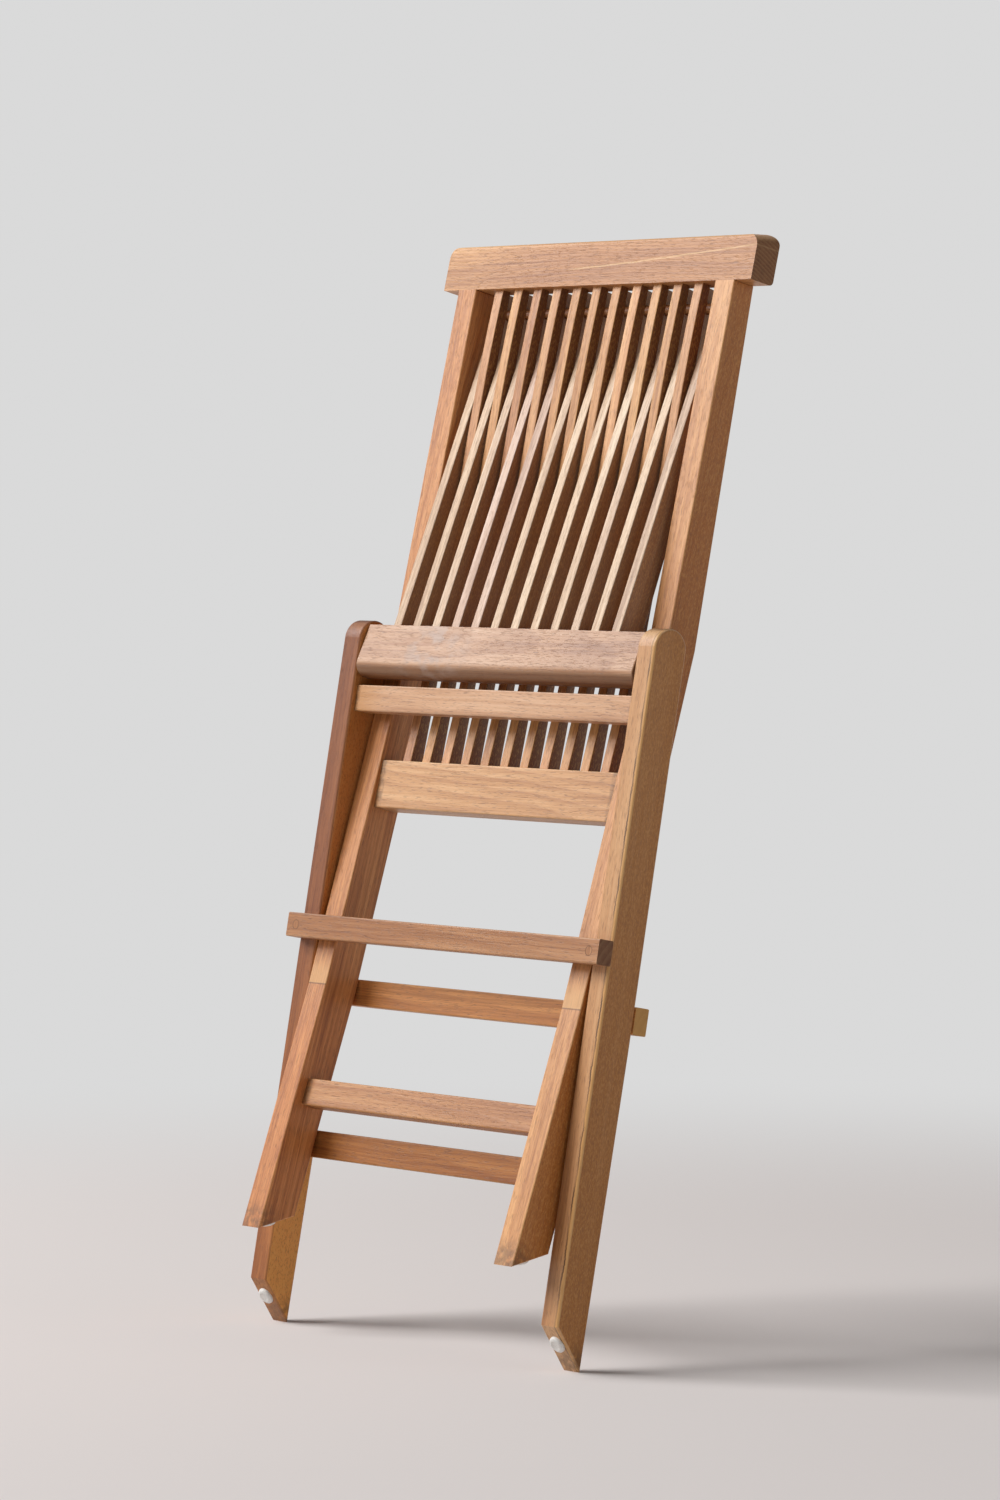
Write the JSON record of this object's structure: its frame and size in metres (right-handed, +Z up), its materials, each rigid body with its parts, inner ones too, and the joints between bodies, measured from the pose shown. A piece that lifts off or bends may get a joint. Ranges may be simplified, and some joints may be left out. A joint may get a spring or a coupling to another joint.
{
  "type": "folding chair",
  "caption": "Slatted wooden folding chair with a contoured slat back and a slatted seat that threads through the back as the legs swing shut.",
  "frame": {"origin": "middle of the bounding box's underside, on the floor under the folded chair leaning on its outer feet", "axes": "+X across the chair to the sitter's left as seen from the front, +Y towards the back, +Z up"},
  "size_m": [0.4716, 0.3207, 1.0734],
  "materials": {
    "teak": "bare sanded teak, fine straight grain, satin",
    "steel": "plain turned steel",
    "glide": "white moulded plastic"
  },
  "bodies": {
    "back_frame": {"crest_rail": "teak", "left_stile": "teak", "right_stile": "teak", "lower_back_rail": "teak", "inner_stretcher": "teak", "back_slat_01": "teak", "back_slat_02": "teak", "back_slat_03": "teak", "back_slat_04": "teak", "back_slat_05": "teak", "back_slat_06": "teak", "back_slat_07": "teak", "back_slat_08": "teak", "back_slat_09": "teak", "back_slat_10": "teak", "back_slat_11": "teak", "left_leg_pin": "steel", "right_leg_pin": "steel", "left_leg_washer": "steel", "right_leg_washer": "steel", "inner_foot_glides": "glide"},
    "leg_frame": {"left_outer_leg": "teak", "right_outer_leg": "teak", "top_bar": "teak", "front_bar": "teak", "rear_bar": "teak", "rear_stretcher": "teak", "front_bar_screws": "steel", "front_bar_plugs": "teak", "rear_bar_screws": "steel", "rear_bar_plugs": "teak", "outer_foot_glides": "glide"},
    "seat": {"seat_front_rail": "teak", "seat_slat_01": "teak", "seat_slat_02": "teak", "seat_slat_03": "teak", "seat_slat_04": "teak", "seat_slat_05": "teak", "seat_slat_06": "teak", "seat_slat_07": "teak", "seat_slat_08": "teak", "seat_slat_09": "teak", "seat_slat_10": "teak", "seat_slat_11": "teak", "seat_slat_12": "teak", "seat_rear_rod": "teak", "left_seat_pin": "steel", "right_seat_pin": "steel"}
  },
  "joints": [
    {"name": "leg_swing", "type": "hinge", "parent": "back_frame", "child": "leg_frame", "pos_m": [0, -0.04759, 0.36141], "axis": [1, 0, 0], "range_deg": [0, 68.4]},
    {"name": "seat_tilt", "type": "hinge", "parent": "leg_frame", "child": "seat", "pos_m": [0, 0.01263, 0.67712], "axis": [1, 0, 0], "range_deg": [-129.63, 0]}
  ],
  "couplings": [
    {"joint": "seat_tilt", "follows": "leg_swing", "ratio": -1.895}
  ]
}
